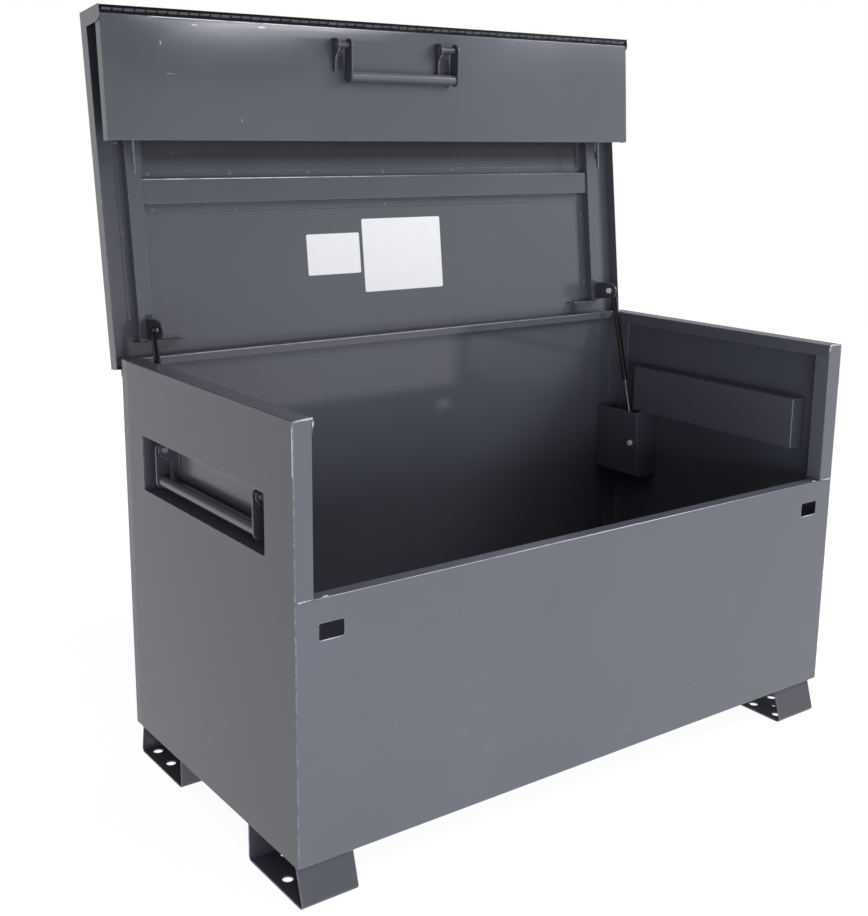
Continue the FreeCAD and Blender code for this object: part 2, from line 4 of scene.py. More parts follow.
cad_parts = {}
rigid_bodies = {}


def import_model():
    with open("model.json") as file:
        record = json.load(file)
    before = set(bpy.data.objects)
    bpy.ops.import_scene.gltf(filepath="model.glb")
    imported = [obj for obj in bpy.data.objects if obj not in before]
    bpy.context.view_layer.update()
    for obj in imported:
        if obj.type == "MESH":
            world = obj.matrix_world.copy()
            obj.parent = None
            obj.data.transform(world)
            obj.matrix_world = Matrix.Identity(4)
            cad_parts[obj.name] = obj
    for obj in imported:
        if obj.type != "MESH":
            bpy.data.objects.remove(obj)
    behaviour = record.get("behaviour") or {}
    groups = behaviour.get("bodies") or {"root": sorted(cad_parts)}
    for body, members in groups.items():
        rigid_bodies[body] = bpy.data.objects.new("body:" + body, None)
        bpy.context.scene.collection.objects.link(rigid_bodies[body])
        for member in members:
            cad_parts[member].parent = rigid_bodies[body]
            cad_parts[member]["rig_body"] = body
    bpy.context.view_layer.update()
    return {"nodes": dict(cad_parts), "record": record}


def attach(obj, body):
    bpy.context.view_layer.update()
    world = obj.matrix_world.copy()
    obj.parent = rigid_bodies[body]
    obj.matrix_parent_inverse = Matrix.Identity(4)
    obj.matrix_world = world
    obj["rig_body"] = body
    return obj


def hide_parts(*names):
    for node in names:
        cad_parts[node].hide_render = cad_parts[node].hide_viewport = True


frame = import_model()
NODES = frame["nodes"]

# ------------------------------------------------------------------ the frame's own measures, mm
SY, SZ = -59.34645155340087, 80.0
HY, HZ = 387.0, 836.5
A = math.radians(96.6)
LEAN = math.radians(4.0)
FT, FD, FACE = 768.5, -66.0, 5.5
FY = HY - FT * math.cos(A) + FD * math.sin(A)
FZ = HZ + FT * math.sin(A) + FD * math.cos(A)
LID_IN = 29.5


def body_pt(x, y, z):
    return Vector((x / 1000.0, (y + SY) / 1000.0, (z + SZ) / 1000.0))


def lid_pt(x, t, d):
    return body_pt(x, HY - t * math.cos(A) + d * math.sin(A), HZ + t * math.sin(A) + d * math.cos(A))


def flap_pt(x, down, out):
    y, z = -out - FACE, FACE - down
    return body_pt(x, FY + y * math.cos(LEAN) + z * math.sin(LEAN), FZ - y * math.sin(LEAN) + z * math.cos(LEAN))


# ------------------------------------------------------------------ the flap sheet's slight form
# (distance below the hinge line in mm, lean of the sheet there in degrees, positive where the face looks further up)
SWELL = ((17.5, 5.8), (20, 5.6), (24, 4.7), (28, 3.6), (32, 3.1), (42, 2.8), (50, 2.65), (60, 2.45), (80, 2.05), (110, 1.5), (140, 0.6), (175, -0.95), (318, -0.95))


def smooth(v):
    v = max(0.0, min(1.0, v))
    return v * v * (3 - 2 * v)


def swell(x, down):
    """How far the flap's sheet stands out of its flat, in mm."""
    off, hi = 0.4, SWELL[-1][0]
    down = max(SWELL[0][0], min(hi, down))
    for (d1, s1), (d2, s2) in zip(SWELL[-2::-1], SWELL[:0:-1]):
        lo = max(d1, down)
        if lo >= d2:
            continue
        m = s1 + (s2 - s1) * (lo - d1) / (d2 - d1)
        off -= (d2 - lo) * math.radians((m + s2) / 2.0)
    left = smooth((x + 750.0) / 130.0)
    right = 1.0 - (smooth((x + 335.0) / 130.0) if off > 0 else smooth((x + 60.0) / 180.0))
    return off * left * right


# ------------------------------------------------------------------ materials
def new_mat(name):
    m = bpy.data.materials.new(name)
    m.use_nodes = True
    nt = m.node_tree
    nt.nodes.clear()
    out = nt.nodes.new("ShaderNodeOutputMaterial")
    bs = nt.nodes.new("ShaderNodeBsdfPrincipled")
    nt.links.new(bs.outputs[0], out.inputs[0])
    return m, nt, bs


def node(nt, kind, **kw):
    n = nt.nodes.new(kind)
    for k, v in kw.items():
        setattr(n, k, v)
    return n


def noise(nt, vec, scale, detail=3.0, rough=0.5):
    n = node(nt, "ShaderNodeTexNoise")
    n.inputs["Scale"].default_value = scale
    n.inputs["Detail"].default_value = detail
    n.inputs["Roughness"].default_value = rough
    nt.links.new(vec, n.inputs["Vector"])
    return n.outputs["Fac"]


def remap(nt, val, a, b, c, d, clamp=True):
    n = node(nt, "ShaderNodeMapRange")
    n.clamp = clamp
    for i, v in zip(("From Min", "From Max", "To Min", "To Max"), (a, b, c, d)):
        n.inputs[i].default_value = v
    nt.links.new(val, n.inputs["Value"])
    return n.outputs["Result"]


def math_n(nt, op, a, b=None):
    n = node(nt, "ShaderNodeMath", operation=op)
    for i, v in ((0, a), (1, b)):
        if v is None:
            continue
        if isinstance(v, (int, float)):
            n.inputs[i].default_value = v
        else:
            nt.links.new(v, n.inputs[i])
    return n.outputs[0]


def mix_rgb(nt, fac, a, b, mode="MIX"):
    n = node(nt, "ShaderNodeMix", data_type="RGBA", blend_type=mode)
    if isinstance(fac, (int, float)):
        n.inputs["Factor"].default_value = fac
    else:
        nt.links.new(fac, n.inputs["Factor"])
    for name, v in (("A", a), ("B", b)):
        s = [i for i in n.inputs if i.name == name and i.type == "RGBA"][0]
        if isinstance(v, (tuple, list)):
            s.default_value = (*v[:3], 1.0)
        else:
            nt.links.new(v, s)
    return [o for o in n.outputs if o.type == "RGBA"][0]


def stretched(nt, sx, sy, sz):
    tc = node(nt, "ShaderNodeTexCoord")
    mp = node(nt, "ShaderNodeMapping")
    mp.inputs["Scale"].default_value = (sx, sy, sz)
    nt.links.new(tc.outputs["Object"], mp.inputs["Vector"])
    return mp.outputs["Vector"]


def edge_mask(nt, radius, lo=0.015, hi=0.16):
    # 1 on outward edges, 0 on flats and in inner corners; also the occlusion and a narrow bevel for shading
    wide = node(nt, "ShaderNodeBevel", samples=6)
    wide.inputs["Radius"].default_value = radius
    geo = node(nt, "ShaderNodeNewGeometry")
    dot = node(nt, "ShaderNodeVectorMath", operation="DOT_PRODUCT")
    nt.links.new(wide.outputs["Normal"], dot.inputs[0])
    nt.links.new(geo.outputs["True Normal"], dot.inputs[1])
    inv = math_n(nt, "SUBTRACT", 1.0, dot.outputs["Value"])
    ao = node(nt, "ShaderNodeAmbientOcclusion", samples=6)
    ao.inputs["Distance"].default_value = 0.012
    out = remap(nt, ao.outputs["AO"], 0.70, 0.92, 0.0, 1.0)
    bv = node(nt, "ShaderNodeBevel", samples=4)
    bv.inputs["Radius"].default_value = 0.001
    return math_n(nt, "MULTIPLY", remap(nt, inv, lo, hi, 0.0, 1.0), out), bv, ao


def paint(name, col, wear_and_highlight, rough=0.34, mottling=0.030, edge=0.75, edge_r=0.0026, peel=0.05, wave=0.25, wave_scale=2.6, scuffs=0.06, crease_shade=0.45, spec=0.5, lit_band=None, dim=None, highlight_and_wear_lines=()):
    m, nt, bs = new_mat(name)
    tc = node(nt, "ShaderNodeTexCoord")
    v = tc.outputs["Object"]
    big = noise(nt, v, 2.2, 2.0, 0.45)
    mid = noise(nt, v, 11.0, 1.5, 0.45)
    fine = noise(nt, v, 160.0, 3.0, 0.55)
    tone = math_n(nt, "ADD", remap(nt, big, 0.3, 0.7, -mottling, mottling), remap(nt, mid, 0.3, 0.7, -mottling * 0.25, mottling * 0.25))
    tone = math_n(nt, "ADD", tone, remap(nt, fine, 0.25, 0.75, -mottling * 0.3, mottling * 0.3))
    hi = tuple(min(1, c * 1.6) for c in col)
    lo = tuple(c * 0.4 for c in col)
    c1 = mix_rgb(nt, math_n(nt, "ADD", tone, 0.5), lo, hi)
    # thin lighter edges, broken up by noise: partly rubbed wear, partly a painted highlight along the edges
    em, bv, ao = edge_mask(nt, edge_r)
    if lit_band:
        # painted highlight: the barrel's lower half and the strip just under it are painted lighter, as if lit, than
        # the black leaf, whose black above and below stands partly for shade in the gaps
        sp = node(nt, "ShaderNodeSeparateXYZ")
        nt.links.new(v, sp.inputs[0])
        dz = math_n(nt, "SUBTRACT", sp.outputs["Z"], lit_band[0])
        band = math_n(nt, "MULTIPLY", remap(nt, dz, lit_band[1], lit_band[1] + 0.0006, 0.0, 1.0), remap(nt, dz, lit_band[2] - 0.0006, lit_band[2], 1.0, 0.0))
        speck = remap(nt, noise(nt, stretched(nt, 30, 400, 400), 1.0, 3.0, 0.6), 0.35, 0.6, 0.55, 1.0)
        tick = math_n(nt, "ABSOLUTE", math_n(nt, "SUBTRACT", math_n(nt, "FRACT", math_n(nt, "MULTIPLY", sp.outputs["X"], 1.0 / 0.0254)), 0.5))
        speck = math_n(nt, "MULTIPLY", speck, remap(nt, tick, 0.41, 0.45, 1.0, 0.0))
        c1 = mix_rgb(nt, math_n(nt, "MULTIPLY", band, speck), c1, lit_band[3])
    if dim:
        # a darker coat, painted in to stand for shade in the photo that these lights don't give: (x half width, z low, z full,
        # amount, then z high and how deep into the lid it reaches)
        sp = node(nt, "ShaderNodeSeparateXYZ")
        nt.links.new(v, sp.inputs[0])
        ax = math_n(nt, "ABSOLUTE", sp.outputs["X"])
        k = math_n(nt, "MULTIPLY", remap(nt, ax, dim[0], dim[0] + 0.004, 1.0, 0.0), remap(nt, sp.outputs["Z"], dim[1], dim[2], 0.0, dim[3]))
        if len(dim) > 4:
            yy = math_n(nt, "MULTIPLY", math_n(nt, "SUBTRACT", sp.outputs["Y"], (HY + SY) / 1000.0), math.sin(A))
            zz = math_n(nt, "MULTIPLY", math_n(nt, "SUBTRACT", sp.outputs["Z"], (HZ + SZ) / 1000.0), math.cos(A))
            k = math_n(nt, "MULTIPLY", k, remap(nt, math_n(nt, "ADD", yy, zz), dim[5], dim[5] + 0.0006, 1.0, 0.0))
            k = math_n(nt, "MULTIPLY", k, remap(nt, sp.outputs["Z"], dim[4] - 0.02, dim[4], 1.0, 0.0))
        c1 = mix_rgb(nt, k, c1, tuple(c * 0.30 for c in col))
        nt.links.new(remap(nt, k, 0.0, 1.0, spec, spec * 0.25), bs.inputs["Specular IOR Level"])
    brk = remap(nt, noise(nt, v, 55.0, 4.0, 0.7), 0.40, 0.62, 0.15, 1.0)
    ew = math_n(nt, "MULTIPLY", math_n(nt, "MULTIPLY", em, brk), edge)
    c2 = mix_rgb(nt, ew, c1, wear_and_highlight)
    for axis, p1, p2, rad, lo_e, hi_e, amount in highlight_and_wear_lines:
        # a light line along X or Z, near the line, between its ends, broken up: along folds and edges a painted
        # highlight, as short marks rubbed wear
        sp = node(nt, "ShaderNodeSeparateXYZ")
        nt.links.new(v, sp.inputs[0])
        n1, n2, na = {"X": ("Y", "Z", "X"), "Z": ("X", "Y", "Z")}[axis]
        d1 = math_n(nt, "SUBTRACT", sp.outputs[n1], p1)
        d2 = math_n(nt, "SUBTRACT", sp.outputs[n2], p2)
        dd = math_n(nt, "SQRT", math_n(nt, "ADD", math_n(nt, "MULTIPLY", d1, d1), math_n(nt, "MULTIPLY", d2, d2)))
        k = remap(nt, dd, rad * 0.75, rad, 1.0, 0.0)
        along = math_n(nt, "MULTIPLY", remap(nt, sp.outputs[na], lo_e, lo_e + min(0.02, (hi_e - lo_e) * 0.3), 0.0, 1.0), remap(nt, sp.outputs[na], hi_e - (hi_e - lo_e) * 0.45, hi_e, 1.0, 0.0))
        rough_line = remap(nt, noise(nt, stretched(nt, 22, 22, 22), 1.0, 2.0, 0.6), 0.30, 0.52, 0.35, 1.0)
        k = math_n(nt, "MULTIPLY", math_n(nt, "MULTIPLY", k, along), math_n(nt, "MULTIPLY", rough_line, amount))
        c2 = mix_rgb(nt, k, c2, (0.78, 0.79, 0.81))
    # short hairline scuffs
    s1 = remap(nt, noise(nt, stretched(nt, 210, 18, 24), 1.0, 2.0, 0.5), 0.69, 0.75, 0.0, 1.0)
    s2 = remap(nt, noise(nt, stretched(nt, 22, 190, 30), 1.0, 2.0, 0.5), 0.70, 0.76, 0.0, 1.0)
    patch = remap(nt, noise(nt, v, 3.4, 2.0, 0.5), 0.50, 0.72, 0.0, 1.0)
    sc = math_n(nt, "MULTIPLY", math_n(nt, "MULTIPLY", math_n(nt, "MAXIMUM", s1, s2), patch), scuffs)
    c3 = mix_rgb(nt, sc, c2, wear_and_highlight)
    # painted shade: darker where the short-range occlusion is strong, in creases, corners and between parts
    if crease_shade:
        g = math_n(nt, "MULTIPLY", remap(nt, ao.outputs["AO"], 0.25, 0.80, 1.0, 0.0), crease_shade)
        c3 = mix_rgb(nt, g, c3, tuple(c * 0.30 for c in col))
    nt.links.new(c3, bs.inputs["Base Color"])
    r = math_n(nt, "ADD", remap(nt, mid, 0.2, 0.8, rough - 0.015, rough + 0.02), remap(nt, big, 0.2, 0.8, -0.015, 0.015))
    r = math_n(nt, "ADD", r, math_n(nt, "MULTIPLY", sc, 0.15))
    nt.links.new(r, bs.inputs["Roughness"])
    # sheet waviness and orange peel
    wv = noise(nt, v, wave_scale, 1.0, 0.4)
    b1 = node(nt, "ShaderNodeBump")
    b1.inputs["Strength"].default_value = wave
    b1.inputs["Distance"].default_value = 0.01
    nt.links.new(wv, b1.inputs["Height"])
    pe = noise(nt, v, 620.0, 2.0, 0.5)
    b2 = node(nt, "ShaderNodeBump")
    b2.inputs["Strength"].default_value = peel
    b2.inputs["Distance"].default_value = 0.0004
    nt.links.new(pe, b2.inputs["Height"])
    nt.links.new(bv.outputs["Normal"], b1.inputs["Normal"])
    nt.links.new(b1.outputs["Normal"], b2.inputs["Normal"])
    nt.links.new(b2.outputs["Normal"], bs.inputs["Normal"])
    bs.inputs["Metallic"].default_value = 0.0
    bs.inputs["IOR"].default_value = 1.5
    bs.inputs["Specular IOR Level"].default_value = spec
    return m


def metal(name, col, rough, metallic=1.0, streak=0.08, dirt=(0.05, 0.045, 0.04), dirty=0.3):
    m, nt, bs = new_mat(name)
    tc = node(nt, "ShaderNodeTexCoord")
    v = tc.outputs["Object"]
    n1 = noise(nt, v, 90.0, 4.0, 0.6)
    n2 = noise(nt, v, 420.0, 3.0, 0.6)
    c = mix_rgb(nt, remap(nt, n1, 0.45, 0.75, 0.0, dirty), col, dirt)
    nt.links.new(c, bs.inputs["Base Color"])
    nt.links.new(remap(nt, n2, 0.3, 0.7, rough - streak, rough + streak), bs.inputs["Roughness"])
    bv = node(nt, "ShaderNodeBevel", samples=4)
    bv.inputs["Radius"].default_value = 0.0006
    b = node(nt, "ShaderNodeBump")
    b.inputs["Strength"].default_value = 0.15
    b.inputs["Distance"].default_value = 0.0002
    nt.links.new(n2, b.inputs["Height"])
    nt.links.new(bv.outputs["Normal"], b.inputs["Normal"])
    nt.links.new(b.outputs["Normal"], bs.inputs["Normal"])
    bs.inputs["Metallic"].default_value = metallic
    return m


def paper(name, col):
    m, nt, bs = new_mat(name)
    tc = node(nt, "ShaderNodeTexCoord")
    v = tc.outputs["Object"]
    n1 = noise(nt, v, 30.0, 4.0, 0.6)
    n2 = noise(nt, v, 900.0, 2.0, 0.5)
    c = mix_rgb(nt, remap(nt, n1, 0.35, 0.7, 0.0, 0.12), col, tuple(k * 0.8 for k in col))
    nt.links.new(c, bs.inputs["Base Color"])
    nt.links.new(remap(nt, n1, 0.3, 0.7, 0.38, 0.5), bs.inputs["Roughness"])
    b = node(nt, "ShaderNodeBump")
    b.inputs["Strength"].default_value = 0.1
    b.inputs["Distance"].default_value = 0.0002
    nt.links.new(n2, b.inputs["Height"])
    nt.links.new(b.outputs["Normal"], bs.inputs["Normal"])
    return m


BLUE = (0.102, 0.109, 0.121)
WEAR_AND_HIGHLIGHT = (0.44, 0.46, 0.49)


def shade(k):
    return tuple(c * k for c in BLUE)


AXZ = (FZ + SZ) / 1000.0
CCP, FTP = lid_pt(0, 417, LID_IN - 20.0), flap_pt(0, 17.5, 0)
YF = (-375.0 + SY) / 1000.0


def mark(x, down, length, rad, amount, axis="X"):
    """A short rubbed mark on the flap's face."""
    c = flap_pt(x, down, swell(x, down))
    if axis == "X":
        return ("X", c.y, c.z, rad, c.x - length / 2, c.x + length / 2, amount)
    return ("Z", c.x, c.y, rad, c.z - length / 2, c.z + length / 2, amount)


# painted light and shade: the sheet panels of the box, lid and flap share one blue-grey enamel (BLUE); their different
# shade() factors, and the sides' lower specular, make lit and shaded copies of it
MAT = {
    "body_paint": paint("enamel_body", shade(1.06), WEAR_AND_HIGHLIGHT, rough=0.17, wave=0.06),
    "lid_paint": paint("enamel_lid", shade(0.88), WEAR_AND_HIGHLIGHT, rough=0.17, wave=0.07),
    "pocket_paint": paint("enamel_pocket", shade(0.84), WEAR_AND_HIGHLIGHT, rough=0.22, wave=0.06),
    "foot_paint": paint("enamel_foot", shade(0.66), WEAR_AND_HIGHLIGHT, rough=0.30, edge=0.85, scuffs=0.15, wave=0.05, spec=0.4),
    "hinge_paint": paint("hinge_black", (0.006, 0.0062, 0.007), (0.13, 0.13, 0.135), rough=0.42, edge=0.25, wave=0.0, scuffs=0.1, spec=0.06,
                         lit_band=(AXZ, -0.0060, -0.0004, (0.120, 0.122, 0.128))),
    "handle_paint": paint("enamel_handle", shade(0.48), (0.56, 0.58, 0.61), rough=0.26, edge=1.0, edge_r=0.0022, wave=0.05),
    "pin_dull": metal("pin_dull", (0.26, 0.265, 0.28), 0.32, metallic=0.3, dirty=0.35),
    # painted shade: a darker copy of the enamel for the left strut bracket, which sits in the shade under the flap
    "bracket_painted_shade": paint("enamel_bracket_painted_shade", shade(0.22), (0.42, 0.43, 0.46), rough=0.25, edge=0.9, wave=0.04),
    "grip": paint("grip_enamel", shade(0.95), (0.30, 0.31, 0.33), rough=0.22, edge=0.3, wave=0.05),
    "strut_tube": paint("strut_black", (0.007, 0.007, 0.008), (0.08, 0.08, 0.08), rough=0.2, edge=0.3, wave=0.0, peel=0.02, scuffs=0.05),
    "hinge_pin": metal("pin_steel", (0.30, 0.30, 0.31), 0.35),
    # painted highlight: the near-white base and low metallic of the zinc heads stand in for their bright glint
    "fastener": metal("zinc", (0.97, 0.97, 0.95), 0.20, metallic=0.05, dirty=0.05),
    "strut_rod": metal("rod_bright", (0.42, 0.42, 0.43), 0.16, dirty=0.1),
    "label": paper("label_white", (0.84, 0.855, 0.79)),
    # rear, front, flap and cross: the light lines along folds and edges are painted highlights; the flap's mark() lines
    # are rubbed wear
    "rear": paint("enamel_rear", shade(0.90), WEAR_AND_HIGHLIGHT, rough=0.085, wave=0.02, mottling=0.02, dim=(0.80, 0.62, 0.28, 0.20),
                  highlight_and_wear_lines=(("X", (357.0 + SY) / 1000.0, 0.943, 0.0024, -0.74, 0.74, 0.45),)),
    "front": paint("enamel_front", shade(1.10), WEAR_AND_HIGHLIGHT, rough=0.19, wave=0.06,
                   highlight_and_wear_lines=(("X", YF, 0.608, 0.0016, -0.722, 0.45, 0.95), ("X", YF, 0.526, 0.0017, -0.712, -0.655, 0.8), ("X", YF, 0.526, 0.0017, 0.655, 0.712, 0.8))),
    "flap": paint("enamel_flap", shade(0.86), WEAR_AND_HIGHLIGHT, rough=0.17, wave=0.05,
                  highlight_and_wear_lines=(("X", FTP.y + 0.0016, FTP.z, 0.0032, -0.66, 0.06, 0.8), mark(-632, 73, 0.012, 0.0016, 0.75, "Z"), mark(-548, 31, 0.016, 0.0013, 0.7),
                       mark(-380, 28, 0.022, 0.0015, 0.9), mark(-444, 235, 0.010, 0.0017, 0.3, "Z"), mark(-612, 138, 0.030, 0.0009, 0.25))),
    "cross": paint("enamel_cross", shade(0.88), WEAR_AND_HIGHLIGHT, rough=0.17, wave=0.05, highlight_and_wear_lines=(("X", CCP.y, CCP.z, 0.0022, -0.672, 0.15, 1.0),)),
    "side": paint("enamel_side", shade(0.86), WEAR_AND_HIGHLIGHT, rough=0.24, wave=0.06, spec=0.30),
    "lid_inner": paint("enamel_lid_inner", shade(0.92), WEAR_AND_HIGHLIGHT, rough=0.17, wave=0.03, dim=(0.668, 1.345, 1.378, 0.62, 1.64, 0.0300)),
    "lid_channel": paint("enamel_lid_channel", shade(0.88), WEAR_AND_HIGHLIGHT, rough=0.17, wave=0.05, dim=(0.800, 1.375, 1.425, 0.60)),
    "weld": paint("weld_bead", (0.44, 0.45, 0.47), (0.85, 0.86, 0.88), rough=0.26, edge=0.9, edge_r=0.0012, wave=0.0, scuffs=0.0, crease_shade=0.2),
}
SLOT_OF = {s["node"]: s["material_slot"] for s in frame["record"]["subparts"]}


def look_of(n):
    if n.endswith("side_panel"):
        return "side"
    if n in ("left_handle_pins", "right_handle_pins"):
        return "pin_dull"
    # painted shade: the left strut bracket gets the darker copy of the enamel
    if n == "left_strut_bracket":
        return "bracket_painted_shade"
    return {"rear_panel": "rear", "front_panel": "front", "flap_panel": "flap", "lid_cross_channel": "cross", "lid_pan": "lid_inner", "lid_left_channel": "lid_channel", "lid_right_channel": "lid_channel"}.get(n, SLOT_OF[n])


for n, o in NODES.items():
    o.data.materials.clear()
    o.data.materials.append(MAT[look_of(n)])

# ------------------------------------------------------------------ mesh helpers


def obj_from(bm, name, slot, body, smooth=True, weighted=True, sharp=50.0, look=None):
    me = bpy.data.meshes.new(name)
    bmesh.ops.recalc_face_normals(bm, faces=bm.faces)
    if smooth:
        lim = math.radians(sharp)
        for f in bm.faces:
            f.smooth = True
        for e in bm.edges:
            if len(e.link_faces) == 2 and e.calc_face_angle() > lim:
                e.smooth = False
    bm.to_mesh(me)
    bm.free()
    o = bpy.data.objects.new(name, me)
    bpy.context.scene.collection.objects.link(o)
    me.materials.append(MAT[look or slot])
    if smooth and weighted:
        w = o.modifiers.new("wn", "WEIGHTED_NORMAL")
        w.keep_sharp = True
        w.weight = 80
    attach(o, body)
    return o


def flat_angle(e):
    return e.calc_face_angle() if len(e.link_faces) == 2 else 0.0


def refine(node_name, *folds, small=0.0005, shape=None):
    """The CAD sheet again, with its folds bent to a radius and its cut edges eased. folds: (edge test, radius, segments)."""
    src = NODES[node_name]
    body = src["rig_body"]
    bm = bmesh.new()
    bm.from_mesh(src.data)
    bmesh.ops.remove_doubles(bm, verts=bm.verts, dist=2e-5)
    bmesh.ops.dissolve_limit(bm, angle_limit=math.radians(0.8), verts=bm.verts, edges=bm.edges, delimit=set())
    for test, r, seg in folds:
        es = [e for e in bm.edges if flat_angle(e) > 0.9 and test(e)]
        if es:
            bmesh.ops.bevel(bm, geom=es, offset=r, offset_type="OFFSET", segments=seg, profile=0.5, affect="EDGES", clamp_overlap=True)
    if small:
        es = [e for e in bm.edges if flat_angle(e) > math.radians(40)]
        if es:
            bmesh.ops.bevel(bm, geom=es, offset=small, offset_type="OFFSET", segments=2, profile=0.5, affect="EDGES", clamp_overlap=True)
    if shape:
        shape(bm)
    o = obj_from(bm, node_name + "_formed", SLOT_OF[node_name], body, look=look_of(node_name))
    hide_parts(node_name)
    return o


def ends(e):
    return e.verts[0].co, e.verts[1].co


def near(v, t, tol=0.0004):
    return abs(v - t) < tol


# ------------------------------------------------------------------ camera
F, CX, CY = 1253.99, 409.85, 414.44
az, el, roll = math.radians(35.261), math.radians(12.425), math.radians(0.353)
d = Vector((math.sin(az) * math.cos(el), math.cos(az) * math.cos(el), -math.sin(el)))
right = d.cross(Vector((0, 0, 1))).normalized()
up = right.cross(d)
r2 = right * math.cos(roll) + up * math.sin(roll)
u2 = up * math.cos(roll) - right * math.sin(roll)
cam_d = bpy.data.cameras.new("camera")
cam = bpy.data.objects.new("camera", cam_d)
bpy.context.scene.collection.objects.link(cam)
M = Matrix.Identity(4)
for i in range(3):
    M[i][0], M[i][1], M[i][2] = r2[i], u2[i], -d[i]
M.translation = body_pt(-1815.0, -2217.6, 1342.0)
cam.matrix_world = M
cam_d.sensor_fit = "HORIZONTAL"
cam_d.sensor_width = 36.0
cam_d.lens = 36.0 * F / 868.0
cam_d.shift_x = (434.0 - CX) / 868.0
cam_d.shift_y = (CY - 458.0) / 868.0
cam_d.clip_start, cam_d.clip_end = 0.05, 200.0
bpy.context.scene.camera = cam

# ------------------------------------------------------------------ floor, light
fl = bmesh.new()
bmesh.ops.create_grid(fl, x_segments=1, y_segments=1, size=40.0)
fme = bpy.data.meshes.new("floor")
fl.to_mesh(fme)
fl.free()
floor = bpy.data.objects.new("floor", fme)
bpy.context.scene.collection.objects.link(floor)
m, nt, bs = new_mat("floor_white")
bs.inputs["Base Color"].default_value = (0.25, 0.25, 0.25, 1)
bs.inputs["Roughness"].default_value = 0.9
bs.inputs["Specular IOR Level"].default_value = 0.0
bs.inputs["Emission Color"].default_value = (1, 1, 1, 1)
bs.inputs["Emission Strength"].default_value = 0.92
fme.materials.append(m)

world = bpy.data.worlds.new("studio")
bpy.context.scene.world = world
world.use_nodes = True
nt = world.node_tree
nt.nodes.clear()
wo = nt.nodes.new("ShaderNodeOutputWorld")
bg = nt.nodes.new("ShaderNodeBackground")
tc = nt.nodes.new("ShaderNodeTexCoord")
sep = nt.nodes.new("ShaderNodeSeparateXYZ")
ramp = nt.nodes.new("ShaderNodeValToRGB")
nt.links.new(tc.outputs["Generated"], sep.inputs[0])
nt.links.new(sep.outputs["Z"], ramp.inputs[0])
ramp.color_ramp.elements[0].position = 0.0
ramp.color_ramp.elements[0].color = (1, 1, 1, 1)
ramp.color_ramp.elements[1].position = 1.0
ramp.color_ramp.elements[1].color = (0.48, 0.40, 0.50, 1)
for pos, c in ((0.13, (1, 1, 1, 1)), (0.19, (0.035, 0.035, 0.04, 1)), (0.48, (0.035, 0.035, 0.04, 1)), (0.53, (0.48, 0.40, 0.50, 1))):
    e = ramp.color_ramp.elements.new(pos)
    e.color = c
bg.inputs["Strength"].default_value = 1.0
nt.links.new(ramp.outputs[0], bg.inputs[0])
nt.links.new(bg.outputs[0], wo.inputs[0])


def area(name, loc, target, sx, sy, power, col=(1, 1, 1)):
    ld = bpy.data.lights.new(name, "AREA")
    ld.shape = "RECTANGLE"
    ld.size, ld.size_y = sx, sy
    ld.energy = power
    ld.color = col
    o = bpy.data.objects.new(name, ld)
    bpy.context.scene.collection.objects.link(o)
    o.location = loc
    o.rotation_mode = "QUATERNION"
    o.rotation_quaternion = (Vector(target) - Vector(loc)).to_track_quat("-Z", "Y")
    return o


area("key", (2.3, -1.15, 2.7), (0.5, 0.2, 1.3), 1.1, 1.1, 50, (0.99, 1.0, 1.11))
area("strip", (1.08, -2.05, 2.64), (-0.13, -0.3, 1.6), 0.85, 0.26, 9.5, (1.0, 1.0, 1.06))
area("front_fill", (-1.05, -2.75, 0.5), (-0.1, -0.4, 0.35), 1.5, 0.8, 23, (0.99, 1.0, 1.3))

sc = bpy.context.scene
sc.view_settings.view_transform = "Standard"
sc.view_settings.look = "None"

# ------------------------------------------------------------------ formed sheet metal


def is_along(e, axis):
    a, b = ends(e)
    dv = (b - a).normalized()
    return abs(dv[axis]) > 0.999


def at(e, axis, val, tol=0.0006):
    a, b = ends(e)
    return near(a[axis], val, tol) and near(b[axis], val, tol)


HXm, Yf, Yr = 0.762, (-375 + SY) / 1000, (375 + SY) / 1000
Ztop, Zsill = (863 + SZ) / 1000, (528 + SZ) / 1000


def short(e, axis, length, tol=0.0004):
    return is_along(e, axis) and abs(e.calc_length() - length) < tol


for sgn, side in ((-1, "left"), (1, "right")):
    refine(side + "_side_panel",
           (lambda e, s=sgn: is_along(e, 1) and at(e, 2, Ztop) and (at(e, 0, s * HXm) or at(e, 0, s * 0.718)), 0.0032, 4),
           (lambda e: short(e, 0, 0.002) and (Ztop - 0.30) < e.verts[0].co.z < (Ztop - 0.10) and abs(e.verts[0].co.y - Yf) > 0.05 and abs(e.verts[0].co.y - Yr) > 0.05, 0.004, 4))
    refine(side + "_front_post", (lambda e, s=sgn: is_along(e, 2) and at(e, 1, Yf) and at(e, 0, s * 0.721), 0.003, 4))
    refine(side + "_rear_post")
    refine(side + "_handle_pocket", (lambda e, s=sgn: at(e, 0, s * 0.715), 0.0032, 4), (lambda e, s=sgn: at(e, 0, s * 0.717), 0.0016, 3))
    refine(side + "_strut_pocket", (lambda e: e.calc_length() > 0.1 and flat_angle(e) > 0.9, 0.0014, 3))
    for end in ("front", "rear"):
        refine("%s_%s_foot" % (side, end), small=0.0008)
    for part in ("handle_brackets", "handle_arms", "strut_bracket", "latch_hook"):
        refine("%s_%s" % (side, part), small=0.0006)
refine("rear_panel", (lambda e: (is_along(e, 2) and at(e, 1, Yr)) or (is_along(e, 0) and at(e, 2, Ztop)), 0.003, 4))
refine("front_panel", (lambda e: is_along(e, 0) and at(e, 2, Zsill) and at(e, 1, Yf), 0.003, 4),
       (lambda e: short(e, 1, 0.002) and (Zsill - 0.09) < e.verts[0].co.z < (Zsill - 0.04), 0.0045, 4))
